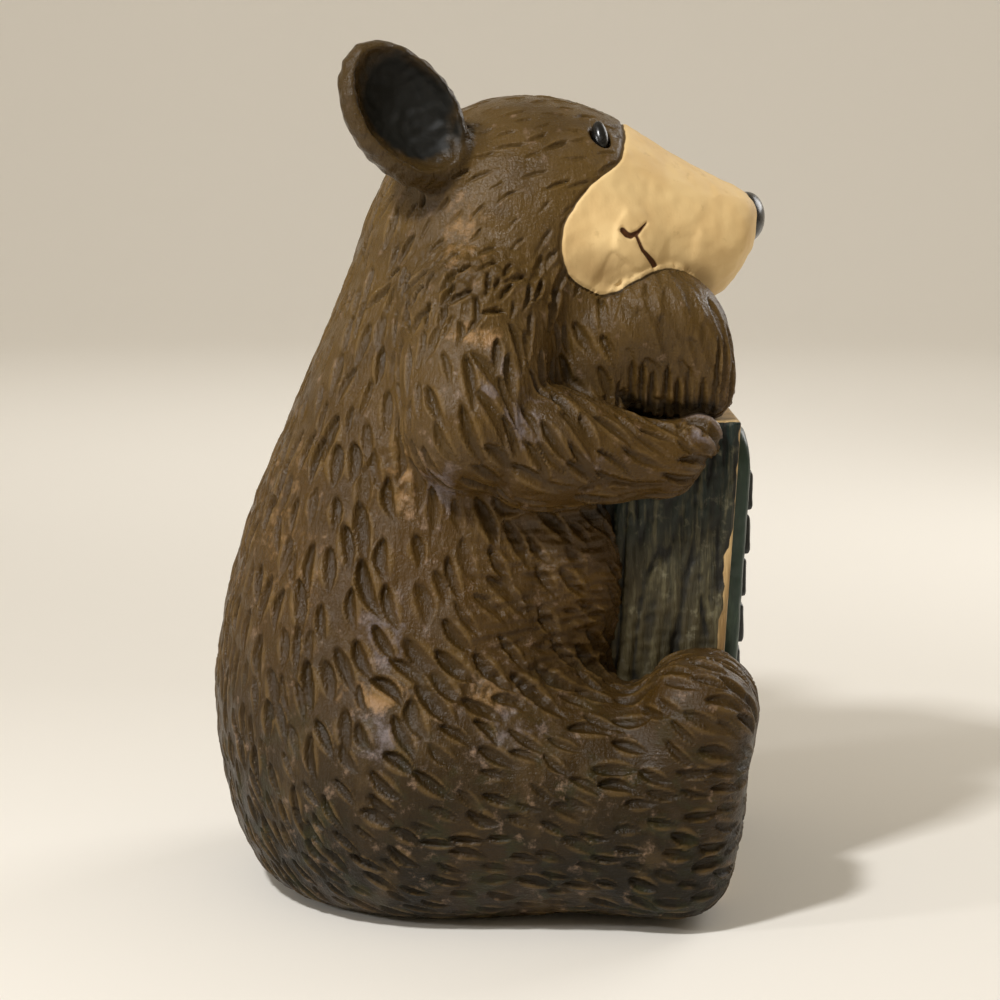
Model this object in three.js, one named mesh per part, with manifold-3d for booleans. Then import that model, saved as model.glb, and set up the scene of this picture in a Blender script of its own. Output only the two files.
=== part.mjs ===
// A sitting bear in the chainsaw-carved style, cast in one piece and painted. It rests its chin on
// the paw of its left arm, which lies across the top of an upright half-log standing between its
// legs, and its right forearm hugs the log's side. A sign panel with seven raised marks faces forward.
// Millimetres, +Z up. The bear faces -Y, and its right side is at -X.
import * as THREE from "three";
import { mergeVertices } from "three/addons/utils/BufferGeometryUtils.js";
import Module from "manifold-3d";

// ---- Driving dimensions. "Forward" is distance along -Y, and each limb is given for +X. ----

const SKIN_STEP = 7.2; // spacing of the skin's facets
const BASE_ROUND = 11; // how far the underside's edge is rounded off
const BASE_CUT = 0.2; // shaved off the underside, so that it is one flat face

// The trunk, level by level: height, back, front, half-width.
const TRUNK = [
  [-12, -52, 40, 56],
  [0, -70, 46, 66],
  [14, -79.5, 48, 73],
  [34, -86, 48, 77],
  [60, -89, 46, 76],
  [90, -85.5, 43, 69],
  [120, -77, 40, 60],
  [150, -64.5, 39, 54],
  [180, -51.5, 38, 49],
  [205, -41, 36, 42],
  [228, -28, 30, 33],
];

// The muzzle, from the brow to the tip: forward, underside, top, half-width.
const MUZZLE = [
  [20, 189, 244, 37],
  [34, 187, 243, 38],
  [46, 185, 238.5, 35],
  [60, 184.5, 231, 30.5],
  [71, 188.5, 225.4, 26],
  [79, 197, 221.2, 21],
  [83.3, 205.5, 218.4, 14.5],
];

const SKULL = { at: [0, 10, 206], radii: [47, 46, 45] };
const CHEEK = { at: [25, 37, 204], radii: [18, 16, 14] };
const NOSE = { at: [0, 81, 212.8], radii: [11.5, 5.7, 8] };
const EYE = { at: [26.9, 33.0, 237.6], radii: [3, 3, 4.3] };
const CHEST = { at: [22, 30, 168], radii: [24, 17, 30] };
const BELLY = { at: [35, 21, 102], radii: [19, 20, 33] }; // wraps round the log's flank

// The ear is a cupped oval: where its middle is, the way it faces, and the way its tip points.
const EAR = { at: [40, -26.5, 244.6], faces: [0.76, 0.52, 0.2], tip: [0.22, -0.6, 0.78] };
const EAR_RADII = [25, 17.8, 11];
const CUP_RADII = [22, 15.1, 13];
const CUP_AT = [1.6, -1, 9]; // the hollow's middle from the ear's: toward the tip, across, and out

// Limbs: the two ends of each tapering stretch and the radii there.
const THIGH = { from: [38, -20, 44], to: [48, 38, 34], radii: [46, 36] };
const FOOT = { at: [54, 59.5, 41.5], half: [26.5, 18, 41], round: 17.5, faces: [0.12, 1, -0.17] };
const HUG_UPPER = { from: [38, -4, 182], to: [56, -6.5, 153], radii: [25, 20.5] };
const HUG_FORE = { from: [52, 14, 145.5], to: [46, 52, 140.5], radii: [19.5, 10.5] };
const HUG_HAND = { from: [46, 52, 140.5], to: [45, 63, 147.5], radii: [10.5, 7] };
const REST_UPPER = { from: [38, -4, 182], to: [58, 16, 152], radii: [25, 20] };
const REST_FORE = { from: [56, 20, 154], to: [-24, 54, 168], radii: [19, 14] };
const WRIST = { from: [-31, 46, 176], to: [-22, 36, 175], radii: [13, 13.5] };
const PAW = { at: [-34, 52.8, 178.5], half: [12.5, 22, 26], round: 8, up: [-0.26, 0, 1] };
const PAW_DOME = { at: [-30, 50, 160], radii: [24, 28, 40] };
const HEEL = { at: [0, 50, 151.5], slope: [0.5, 0.866] }; // the paw is cut away below and behind this

// The half-log, its sign panel and the raised marks.
const LOG_TOP = 152;
const LOG_RADIUS = 41;
const LOG_FACE = 76.5; // forward distance of the sawn face at its top
const LOG_STRAIGHT = 22; // straight part of each side behind the sawn face
const LOG_LEAN = 0.06; // how far the face falls back for each millimetre down
const BARK_RIDGES = 18;
const BARK_DEPTH = 1.1;
const PANEL = { width: 66, low: 13, high: 149, thickness: 5, corner: 12 };
const MARK_ROWS = 7;
const MARK_PITCH = 13.9;
const MARK_TOP = 128.5; // height of the middle of the first row
const MARK = { height: 12.4, rise: 1.9 };
const THREE_MARKS = { width: 11.5, places: [-20, 0, 20] };
const FOUR_MARKS = { width: 8.6, places: [-22.5, -7.5, 7.5, 22.5] };

// ---- Distance to each form, negative inside; blends are rounded over a stated width. ----

const clamp = (v, lo, hi) => Math.min(Math.max(v, lo), hi);

function blend(a, b, width) {
  const h = clamp(0.5 + (0.5 * (b - a)) / width, 0, 1);
  return b + (a - b) * h - width * h * (1 - h);
}

const carve = (a, b, width) => -blend(-a, -b, width);
const place = ([x, forward, z]) => new THREE.Vector3(x, -forward, z);
const mirrored = (p) => new THREE.Vector3(Math.abs(p.x), p.y, p.z);

function ellipsoid(p, { at, radii }) {
  const q = p.clone().sub(place(at));
  const [a, b, c] = radii;
  const k0 = Math.hypot(q.x / a, q.y / b, q.z / c);
  const k1 = Math.hypot(q.x / (a * a), q.y / (b * b), q.z / (c * c)) + 1e-9;
  return (k0 * (k0 - 1)) / k1;
}

// A stretch of limb between two spheres of different radii.
function taper(p, { from, to, radii }) {
  const a = place(from);
  const axis = place(to).sub(a);
  const [ra, rb] = radii;
  const l2 = axis.lengthSq();
  const rr = ra - rb;
  const a2 = l2 - rr * rr;
  const q = p.clone().sub(a);
  const y = q.dot(axis);
  const z = y - l2;
  const x2 = q.clone().multiplyScalar(l2).addScaledVector(axis, -y).lengthSq();
  const y2 = y * y * l2;
  const z2 = z * z * l2;
  const k = Math.sign(rr) * rr * rr * x2;
  if (Math.sign(z) * a2 * z2 > k) return Math.sqrt(x2 + z2) / l2 - rb;
  if (Math.sign(y) * a2 * y2 < k) return Math.sqrt(x2 + y2) / l2 - ra;
  return (Math.sqrt((x2 * a2) / l2) + y * rr) / l2 - ra;
}

// A smooth curve through stations, read at t.
function along(t, xs, ys) {
  const n = xs.length;
  const slope = (i) => {
    if (i === 0) return (ys[1] - ys[0]) / (xs[1] - xs[0]);
    if (i === n - 1) return (ys[n - 1] - ys[n - 2]) / (xs[n - 1] - xs[n - 2]);
    const before = xs[i] - xs[i - 1];
    const after = xs[i + 1] - xs[i];
    const rising = (ys[i + 1] - ys[i]) / after;
    const rose = (ys[i] - ys[i - 1]) / before;
    return (rising * before + rose * after) / (before + after);
  };
  const v = clamp(t, xs[0], xs[n - 1]);
  let i = 0;
  while (i < n - 2 && v > xs[i + 1]) i++;
  const w = xs[i + 1] - xs[i];
  const s = (v - xs[i]) / w;
  const h00 = (1 + 2 * s) * (1 - s) * (1 - s);
  const h10 = s * (1 - s) * (1 - s);
  const h01 = s * s * (3 - 2 * s);
  const h11 = s * s * (s - 1);
  return h00 * ys[i] + h10 * w * slope(i) + h01 * ys[i + 1] + h11 * w * slope(i + 1);
}

// A body with a rounded section that changes from station to station along u.
function swept(u, v, w, stations, power, endRound) {
  const us = stations.map((s) => s[0]);
  const low = along(u, us, stations.map((s) => s[1]));
  const high = along(u, us, stations.map((s) => s[2]));
  const half = along(u, us, stations.map((s) => s[3]));
  const a = Math.max((high - low) / 2, 1);
  const b = Math.max(half, 1);
  const r = Math.pow(
    Math.pow(Math.abs(v - (low + high) / 2) / a, power) + Math.pow(Math.abs(w) / b, power),
    1 / power,
  );
  const side = (r - 1) * Math.min(a, b);
  const ends = Math.max(us[0] - u, u - us[us.length - 1]);
  return carve(side, ends, endRound);
}

// Turns a point into the frame of a piece that faces one way and stands up another.
function turned(p, at, faces, up) {
  const y = place(faces).normalize();
  const x = new THREE.Vector3().crossVectors(y, place(up)).normalize();
  const z = new THREE.Vector3().crossVectors(x, y);
  const q = p.clone().sub(place(at));
  return new THREE.Vector3(q.dot(x), q.dot(y), q.dot(z));
}

function roundedBox(q, [a, b, c], round) {
  const dx = Math.abs(q.x) - a + round;
  const dy = Math.abs(q.y) - b + round;
  const dz = Math.abs(q.z) - c + round;
  const outside = Math.hypot(Math.max(dx, 0), Math.max(dy, 0), Math.max(dz, 0));
  return outside + Math.min(Math.max(dx, dy, dz), 0) - round;
}

// ---- The bear's body: trunk, legs, head, chest and arms blended into one skin. ----

function head(p) {
  const q = mirrored(p);
  const muzzle = swept(-p.y, p.z, p.x, MUZZLE, 2.3, 3);
  return blend(blend(ellipsoid(p, SKULL), muzzle, 9), ellipsoid(q, CHEEK), 7);
}

function legs(p) {
  const q = mirrored(p);
  const foot = roundedBox(turned(q, FOOT.at, FOOT.faces, [0, 0, 1]), FOOT.half, FOOT.round);
  return blend(taper(q, THIGH), foot, 10);
}

// The resting paw is domed on top and squarer below, and its heel is cut away under the wrist.
function paw(p) {
  const q = turned(p, PAW.at, [0, 1, 0.02], PAW.up);
  const domed = carve(roundedBox(q, PAW.half, PAW.round), ellipsoid(p, PAW_DOME), 5);
  const [, forward, z] = HEEL.at;
  const heel = (forward + p.y) * HEEL.slope[0] + (z - p.z) * HEEL.slope[1];
  return blend(carve(domed, heel, 5), taper(p, WRIST), 5);
}

function body(p) {
  const rightward = new THREE.Vector3(-p.x, p.y, p.z);
  const forearm = blend(taper(rightward, HUG_FORE), taper(rightward, HUG_HAND), 4);
  const hugging = blend(taper(rightward, HUG_UPPER), forearm, 2.5);
  const resting = blend(taper(p, REST_UPPER), taper(p, REST_FORE), 6);
  let d = swept(p.z, -p.y, p.x, TRUNK, 2.15, 10);
  d = blend(d, legs(p), 9);
  d = blend(d, head(p), 12);
  d = blend(d, ellipsoid(mirrored(p), CHEST), 6);
  d = blend(d, ellipsoid(mirrored(p), BELLY), 7);
  d = blend(d, blend(hugging, resting, 3), 6);
  d = blend(d, paw(p), 3);
  return carve(d, -p.z, BASE_ROUND);
}

// ---- A closed skin over a distance field: one vertex in each cell that the surface crosses. ----

// Where two insides meet only across a cell's diagonal, a corner between them is filled, so that
// the skin never touches itself along an edge.
function closePockets(value, n, index, filled) {
  const inside = (v) => value[v] < 0;
  const planes = [[[1, 0, 0], [0, 1, 0]], [[1, 0, 0], [0, 0, 1]], [[0, 1, 0], [0, 0, 1]]];
  let changed = true;
  const fill = (a, b) => {
    value[value[a] < value[b] ? a : b] = filled;
    changed = true;
  };
  while (changed) {
    changed = false;
    for (let i = 0; i < n[0] - 1; i++)
      for (let j = 0; j < n[1] - 1; j++)
        for (let k = 0; k < n[2] - 1; k++) {
          for (const [u, v] of planes) {
            const a = index(i, j, k);
            const b = index(i + u[0], j + u[1], k + u[2]);
            const c = index(i + u[0] + v[0], j + u[1] + v[1], k + u[2] + v[2]);
            const d = index(i + v[0], j + v[1], k + v[2]);
            if (inside(a) && inside(c) && !inside(b) && !inside(d)) fill(b, d);
            if (inside(b) && inside(d) && !inside(a) && !inside(c)) fill(a, c);
          }
          for (const [x, y] of [[0, 0], [1, 0], [0, 1], [1, 1]]) {
            const a = index(i + x, j + y, k);
            const b = index(i + 1 - x, j + 1 - y, k + 1);
            let same = 0;
            for (let c = 0; c < 8; c++) {
              const v = index(i + (c & 1), j + ((c >> 1) & 1), k + ((c >> 2) & 1));
              if (v !== a && v !== b && inside(v) === inside(a)) same++;
            }
            if (inside(a) !== inside(b) || same) continue;
            if (inside(a)) fill(index(i + 1 - x, j + y, k), index(i + x, j + 1 - y, k));
            else fill(a, b);
          }
        }
  }
}

function skin(field, box, step) {
  const size = box.getSize(new THREE.Vector3());
  const n = size.toArray().map((s) => Math.ceil(s / step) + 1);
  const at = (i, j, k) =>
    new THREE.Vector3(i, j, k).multiplyScalar(step).add(box.min);
  const index = (i, j, k) => (i * n[1] + j) * n[2] + k;
  const value = new Float32Array(n[0] * n[1] * n[2]);
  for (let i = 0; i < n[0]; i++)
    for (let j = 0; j < n[1]; j++)
      for (let k = 0; k < n[2]; k++) value[index(i, j, k)] = field(at(i, j, k));

  closePockets(value, n, index, -0.1 * step);

  const vertices = [];
  const cell = new Map();
  const corners = [0, 1, 2, 3, 4, 5, 6, 7].map((c) => [c & 1, (c >> 1) & 1, (c >> 2) & 1]);
  const settle = (v) => {
    for (let pass = 0; pass < 3; pass++) {
      const e = 0.2;
      const d = field(v);
      const g = new THREE.Vector3(
        field(v.clone().setX(v.x + e)) - field(v.clone().setX(v.x - e)),
        field(v.clone().setY(v.y + e)) - field(v.clone().setY(v.y - e)),
        field(v.clone().setZ(v.z + e)) - field(v.clone().setZ(v.z - e)),
      ).divideScalar(2 * e);
      v.addScaledVector(g, -clamp(d, -step / 3, step / 3) / Math.max(g.lengthSq(), 0.3));
    }
    return v;
  };
  for (let i = 0; i < n[0] - 1; i++)
    for (let j = 0; j < n[1] - 1; j++)
      for (let k = 0; k < n[2] - 1; k++) {
        const mean = new THREE.Vector3();
        let crossings = 0;
        for (const a of corners)
          for (const b of corners) {
            const apart = b[0] - a[0] + b[1] - a[1] + b[2] - a[2];
            const near = Math.abs(b[0] - a[0]) + Math.abs(b[1] - a[1]) + Math.abs(b[2] - a[2]);
            if (apart !== 1 || near !== 1) continue;
            const va = value[index(i + a[0], j + a[1], k + a[2])];
            const vb = value[index(i + b[0], j + b[1], k + b[2])];
            if (va < 0 === vb < 0) continue;
            const from = at(i + a[0], j + a[1], k + a[2]);
            mean.add(from.lerp(at(i + b[0], j + b[1], k + b[2]), va / (va - vb)));
            crossings++;
          }
        if (!crossings) continue;
        const low = at(i, j, k).addScalar(0.03 * step);
        const high = at(i + 1, j + 1, k + 1).addScalar(-0.03 * step);
        cell.set(index(i, j, k), vertices.length);
        vertices.push(settle(mean.divideScalar(crossings)).clamp(low, high));
      }

  const faces = [];
  const quad = (a, b, c, d) => {
    const [p, q, r, s] = [a, b, c, d].map((v) => vertices[v]);
    if (p.distanceTo(r) <= q.distanceTo(s)) faces.push(a, b, c, a, c, d);
    else faces.push(a, b, d, b, c, d);
  };
  for (let i = 1; i < n[0] - 1; i++)
    for (let j = 1; j < n[1] - 1; j++)
      for (let k = 1; k < n[2] - 1; k++) {
        const here = value[index(i, j, k)] < 0;
        const around = (di, dj, dk) => cell.get(index(i + di, j + dj, k + dk));
        const across = [
          [[i + 1, j, k], [[0, -1, -1], [0, 0, -1], [0, 0, 0], [0, -1, 0]]],
          [[i, j + 1, k], [[-1, 0, -1], [-1, 0, 0], [0, 0, 0], [0, 0, -1]]],
          [[i, j, k + 1], [[-1, -1, 0], [0, -1, 0], [0, 0, 0], [-1, 0, 0]]],
        ];
        for (const [next, ring] of across) {
          if (value[index(...next)] < 0 === here) continue;
          const [a, b, c, d] = ring.map((r) => around(...r));
          if (here) quad(a, b, c, d);
          else quad(d, c, b, a);
        }
      }
  const geometry = new THREE.BufferGeometry();
  const positions = vertices.flatMap((v) => v.toArray());
  geometry.setAttribute("position", new THREE.Float32BufferAttribute(positions, 3));
  geometry.setIndex(faces);
  return geometry;
}

// ---- The log, the sign and the small rounded pieces, as three.js geometries. ----

// An ellipsoid of facets, turned by a rotation and set in place.
function facetedEllipsoid([a, b, c], at, rotation, around = 16, down = 10) {
  const geometry = new THREE.SphereGeometry(1, around, down);
  geometry.scale(a, b, c);
  geometry.applyMatrix4(rotation);
  return geometry.translate(at.x, at.y, at.z);
}

function earPieces(side) {
  const flip = (v) => new THREE.Vector3(side * v.x, v.y, v.z);
  const at = place(EAR.at);
  const faces = place(EAR.faces).normalize();
  const tip = place(EAR.tip);
  tip.addScaledVector(faces, -tip.dot(faces)).normalize();
  const across = new THREE.Vector3().crossVectors(faces, tip);
  const hollow = at.clone().addScaledVector(tip, CUP_AT[0]);
  hollow.addScaledVector(across, CUP_AT[1]).addScaledVector(faces, CUP_AT[2]);
  const rotation = new THREE.Matrix4().makeBasis(
    flip(tip),
    flip(across).multiplyScalar(side),
    flip(faces),
  );
  return {
    shell: facetedEllipsoid(EAR_RADII, flip(at), rotation),
    cup: facetedEllipsoid(CUP_RADII, flip(hollow), rotation),
  };
}

// Leans a piece built on an upright log so that its face falls back towards the foot.
function leaned(geometry) {
  const lean = new THREE.Matrix4().makeShear(0, 0, 0, 0, 0, -LOG_LEAN);
  return geometry.applyMatrix4(lean).translate(0, LOG_LEAN * LOG_TOP, 0);
}

// The half-log's section: a flat sawn face, straight flanks and a round back, with ridged bark.
function logGeometry() {
  const centre = -(LOG_FACE - LOG_STRAIGHT);
  const outline = new THREE.Shape();
  outline.moveTo(-LOG_RADIUS + 1.5, -LOG_FACE);
  outline.lineTo(LOG_RADIUS - 1.5, -LOG_FACE);
  for (let i = 0; i <= 4; i++) {
    const ridge = i % 2 ? -BARK_DEPTH : 0;
    outline.lineTo(LOG_RADIUS + ridge, -LOG_FACE + 1.5 + (i * (LOG_STRAIGHT - 1.5)) / 4);
  }
  for (let i = 1; i < BARK_RIDGES; i++) {
    const angle = (i * Math.PI) / BARK_RIDGES;
    const r = LOG_RADIUS - (i % 2 ? BARK_DEPTH : 0);
    outline.lineTo(r * Math.cos(angle), centre + r * Math.sin(angle));
  }
  for (let i = 4; i >= 0; i--) {
    const ridge = i % 2 ? -BARK_DEPTH : 0;
    outline.lineTo(-LOG_RADIUS - ridge, -LOG_FACE + 1.5 + (i * (LOG_STRAIGHT - 1.5)) / 4);
  }
  return leaned(new THREE.ExtrudeGeometry(outline, { depth: LOG_TOP, bevelEnabled: false }));
}

function panelGeometry() {
  const w = PANEL.width / 2;
  const r = PANEL.corner;
  const outline = new THREE.Shape();
  outline.moveTo(-w + r, PANEL.low);
  outline.lineTo(w - r, PANEL.low);
  outline.absarc(w - r, PANEL.low + r, r, -Math.PI / 2, 0, false);
  outline.absarc(w - r, PANEL.high - r, r, 0, Math.PI / 2, false);
  outline.absarc(-w + r, PANEL.high - r, r, Math.PI / 2, Math.PI, false);
  outline.absarc(-w + r, PANEL.low + r, r, Math.PI, 1.5 * Math.PI, false);
  const depth = PANEL.thickness + 4;
  const options = { depth, bevelEnabled: false, curveSegments: 5 };
  const geometry = new THREE.ExtrudeGeometry(outline, options);
  return leaned(geometry.rotateX(Math.PI / 2).translate(0, -(LOG_FACE - 4), 0));
}

// The rows are three broad blocks and four narrow ones by turns, each of its own width and slant.
function markGeometries() {
  const marks = [];
  for (let row = 0; row < MARK_ROWS; row++) {
    const { width, places } = row % 2 ? FOUR_MARKS : THREE_MARKS;
    places.forEach((x, n) => {
      const wide = width * (1 + 0.14 * Math.sin(2.3 * row + 1.7 * n));
      const mark = new THREE.BoxGeometry(wide, MARK.rise + 3, MARK.height);
      mark.rotateY(0.1 * Math.sin(1.1 * row + 2.1 * n));
      const out = LOG_FACE + PANEL.thickness + MARK.rise - (MARK.rise + 3) / 2;
      mark.translate(x, -out, MARK_TOP - row * MARK_PITCH);
      marks.push(leaned(mark));
    });
  }
  return marks;
}

// ---- Joining everything into the one casting. ----

const wasm = await Module();
wasm.setup();

function solid(geometry) {
  const bare = geometry.clone();
  bare.deleteAttribute("normal");
  bare.deleteAttribute("uv");
  const merged = mergeVertices(bare, 1e-3);
  const mesh = new wasm.Mesh({
    numProp: 3,
    vertProperties: new Float32Array(merged.attributes.position.array),
    triVerts: new Uint32Array(merged.index.array),
  });
  return new wasm.Manifold(mesh);
}

const level = new THREE.Matrix4();
const room = new THREE.Box3(new THREE.Vector3(-105, -105, -12), new THREE.Vector3(105, 105, 266));
let casting = solid(skin(body, room, SKIN_STEP));

for (const side of [-1, 1]) {
  const { shell, cup } = earPieces(side);
  const eye = place(EYE.at);
  eye.x *= side;
  casting = casting.add(solid(shell)).subtract(solid(cup));
  casting = casting.add(solid(facetedEllipsoid(EYE.radii, eye, level, 10, 6)));
}
casting = casting.add(solid(facetedEllipsoid(NOSE.radii, place(NOSE.at), level, 14, 8)));
casting = casting.add(solid(logGeometry())).add(solid(panelGeometry()));
for (const mark of markGeometries()) casting = casting.add(solid(mark));

const underside = new THREE.BoxGeometry(400, 400, 40).translate(0, 0, BASE_CUT - 20);
casting = casting.subtract(solid(underside));

// The joined solid as a geometry, with the middle of its underside's box at the origin.
function geometryOf(made) {
  const mesh = made.getMesh();
  const positions = new Float32Array(mesh.numVert * 3);
  for (let i = 0; i < mesh.numVert; i++) {
    positions.set(mesh.vertProperties.subarray(i * mesh.numProp, i * mesh.numProp + 3), i * 3);
  }
  const geometry = new THREE.BufferGeometry();
  geometry.setAttribute("position", new THREE.BufferAttribute(positions, 3));
  geometry.setIndex(new THREE.BufferAttribute(new Uint32Array(mesh.triVerts), 1));
  geometry.computeBoundingBox();
  const { min, max } = geometry.boundingBox;
  geometry.translate(-(min.x + max.x) / 2, -(min.y + max.y) / 2, -min.z);
  geometry.computeVertexNormals();
  return geometry;
}

const painted = new THREE.MeshStandardMaterial({ color: 0x5a4a33, roughness: 0.42, metalness: 0 });
const bear = new THREE.Mesh(geometryOf(casting), painted);
bear.name = "bear";

const figurine = new THREE.Group();
figurine.add(bear);

export default figurine;
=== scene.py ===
import math

import bpy
import numpy as np
import openvdb
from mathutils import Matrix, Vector, noise
from mathutils.kdtree import KDTree


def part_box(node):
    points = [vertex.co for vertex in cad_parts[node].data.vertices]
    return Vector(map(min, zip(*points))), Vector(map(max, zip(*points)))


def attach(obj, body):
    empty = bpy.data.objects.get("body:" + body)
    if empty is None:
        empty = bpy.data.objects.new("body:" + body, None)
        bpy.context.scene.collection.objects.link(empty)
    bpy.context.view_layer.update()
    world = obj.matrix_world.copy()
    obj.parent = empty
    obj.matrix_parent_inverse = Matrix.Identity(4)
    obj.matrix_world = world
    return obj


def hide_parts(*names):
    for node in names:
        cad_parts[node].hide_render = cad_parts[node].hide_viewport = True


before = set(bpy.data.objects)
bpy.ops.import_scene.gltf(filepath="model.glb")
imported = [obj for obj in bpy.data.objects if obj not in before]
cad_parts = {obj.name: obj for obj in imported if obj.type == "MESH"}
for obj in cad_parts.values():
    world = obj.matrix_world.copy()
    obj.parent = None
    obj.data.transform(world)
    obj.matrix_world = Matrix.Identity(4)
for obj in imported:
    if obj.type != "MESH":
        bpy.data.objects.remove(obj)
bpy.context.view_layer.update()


# ---------------------------------------------------------------- The bear's body
# One hollow casting in polyester resin, taken from a carved wooden original and painted by hand.
# Trunk, legs, head, ears and both arms are one skin, so they are one surface here, with its carved
# fur cut in afterwards. Sizes are in millimetres, "forward" is along -Y and the bear's right is -X.

NOSE_TIP = 86.7  # forward of the body's own middle line
SHAVED = 0.2  # taken off the underside to flatten it
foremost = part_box("bear")[0][1] * 1000
to_frame = np.array([0, foremost + NOSE_TIP, -SHAVED])


def blend(a, b, width):
    """Joins two distances with a fillet of about this width."""
    h = np.clip(0.5 + 0.5 * (b - a) / width, 0, 1)
    return b + (a - b) * h - width * h * (1 - h)


def carve(a, b, width):
    """Keeps what is inside both, with the meeting edge rounded."""
    return -blend(-a, -b, width)


def spot(x, forward, z):
    return np.array([x, -forward, z], np.float32)


def ellipsoid(p, at, radii):
    q = p - spot(*at)
    r = np.array(radii, np.float32)
    k0 = np.sqrt(((q / r) ** 2).sum(1))
    k1 = np.sqrt(((q / r**2) ** 2).sum(1)) + 1e-9
    return k0 * (k0 - 1) / k1


def taper(p, start, end, ra, rb):
    """A limb: the skin around two balls of different size and the cone between them."""
    a = spot(*start)
    axis = spot(*end) - a
    l2 = float(axis @ axis)
    rr = ra - rb
    a2 = l2 - rr * rr
    q = p - a
    y = q @ axis
    z = y - l2
    x2 = ((q * l2 - np.outer(y, axis)) ** 2).sum(1)
    y2, z2 = y * y * l2, z * z * l2
    k = np.sign(rr) * rr * rr * x2
    return np.where(
        np.sign(z) * a2 * z2 > k,
        np.sqrt(x2 + z2) / l2 - rb,
        np.where(
            np.sign(y) * a2 * y2 < k,
            np.sqrt(x2 + y2) / l2 - ra,
            (np.sqrt(x2 * a2 / l2) + y * rr) / l2 - ra,
        ),
    )


def along(t, xs, ys):
    """A smooth curve through stations."""
    xs, ys = np.array(xs, float), np.array(ys, float)
    slope = np.gradient(ys, xs)
    t = np.clip(t, xs[0], xs[-1])
    i = np.clip(np.searchsorted(xs, t) - 1, 0, len(xs) - 2)
    w = xs[i + 1] - xs[i]
    s = (t - xs[i]) / w
    h00, h10 = (1 + 2 * s) * (1 - s) ** 2, s * (1 - s) ** 2
    h01, h11 = s * s * (3 - 2 * s), s * s * (s - 1)
    made = h00 * ys[i] + h10 * w * slope[i] + h01 * ys[i + 1] + h11 * w * slope[i + 1]
    return made.astype(np.float32)


def swept(u, v, w, stations, power, end_round):
    """A round section that changes from station to station along u."""
    us, lows, highs, halves = zip(*stations)
    low, high = along(u, us, lows), along(u, us, highs)
    a = np.maximum((high - low) / 2, 1)
    b = np.maximum(along(u, us, halves), 1)
    r = (np.abs((v - (low + high) / 2) / a) ** power + np.abs(w / b) ** power) ** (1 / power)
    ends = np.maximum(us[0] - u, u - us[-1])
    return carve((r - 1) * np.minimum(a, b), ends, end_round)


def turned(p, at, faces, up):
    """Points in the frame of a piece that faces one way and stands up another."""
    y = spot(*faces) / np.linalg.norm(faces)
    x = np.cross(y, spot(*up))
    x /= np.linalg.norm(x)
    return (p - spot(*at)) @ np.stack([x, y, np.cross(x, y)]).T.astype(np.float32)


def rounded_box(q, half, round_):
    d = np.abs(q) - np.array(half, np.float32) + round_
    outside = np.sqrt((np.maximum(d, 0) ** 2).sum(1))
    return outside + np.minimum(d.max(1), 0) - round_


def mirrored(p):
    q = p.copy()
    q[:, 0] = np.abs(q[:, 0])
    return q


# Height, back, front and half-width of the trunk; forward, underside, top and half-width of the muzzle.
TRUNK = [
    (-12, -52, 40, 56),
    (0, -70, 46, 66),
    (14, -79.5, 48, 73),
    (34, -86, 48, 77),
    (60, -89, 46, 76),
    (90, -85.5, 43, 69),
    (120, -77, 40, 60),
    (150, -64.5, 39, 54),
    (180, -51.5, 38, 49),
    (205, -41, 36, 42),
    (228, -28, 30, 33),
]
MUZZLE = [
    (20, 189, 244, 37),
    (34, 187, 243, 38),
    (46, 185, 238.5, 35),
    (60, 184.5, 231, 30.5),
    (71, 188.5, 225.4, 26),
    (79, 197, 221.2, 21),
    (83.3, 205.5, 218.4, 14.5),
]
EAR_AT, EAR_FACES, EAR_TIP = (40, -26.5, 244.6), (0.76, 0.52, 0.2), (0.22, -0.6, 0.78)
EAR_RADII = (25, 17.8, 11)
CUP_AT, CUP_RADII = (1.6, -1.0, 9), (22.0, 15.1, 13)
PAW_AT, PAW_FACES, PAW_UP = (-34, 52.8, 178.5), (0, 1, 0.02), (-0.26, 0, 1)
PAW_HALF, DOME_AT, DOME_RADII = (12.5, 22, 26), (-30, 50, 160), (24, 28, 40)
HEEL_FORWARD, HEEL_HEIGHT, HEEL_SLOPE = 50, 151.5, (0.5, 0.866)


def head(p):
    skull = ellipsoid(p, (0, 10, 206), (47, 46, 45))
    muzzle = swept(-p[:, 1], p[:, 2], p[:, 0], MUZZLE, 2.3, 3)
    cheek = ellipsoid(mirrored(p), (25, 37, 204), (18, 16, 14))
    return blend(blend(skull, muzzle, 9), cheek, 7)


def in_ear(p):
    """Points measured along the ear's tip, across it, and out of its cup."""
    faces = spot(*EAR_FACES) / np.linalg.norm(EAR_FACES)
    tip = spot(*EAR_TIP) - faces * (spot(*EAR_TIP) @ faces)
    tip /= np.linalg.norm(tip)
    axes = np.stack([tip, np.cross(faces, tip), faces])
    return (mirrored(p) - spot(*EAR_AT)) @ axes.T.astype(np.float32)


def ear_cup(p):
    q = in_ear(p) - np.array(CUP_AT, np.float32)
    return ellipsoid(q, (0, 0, 0), CUP_RADII)


def in_paw(p):
    """Points measured from the middle of the paw: out of its side, forward, and up."""
    return turned(p, PAW_AT, PAW_FACES, PAW_UP)


def resting_paw(p):
    """The paw under the chin: domed on top, squarer at the fingers, its heel cut away below."""
    paw = carve(rounded_box(in_paw(p), PAW_HALF, 8), ellipsoid(p, DOME_AT, DOME_RADII), 5)
    heel = (HEEL_FORWARD + p[:, 1]) * HEEL_SLOPE[0] + (HEEL_HEIGHT - p[:, 2]) * HEEL_SLOPE[1]
    return carve(paw, heel, 5)


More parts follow.
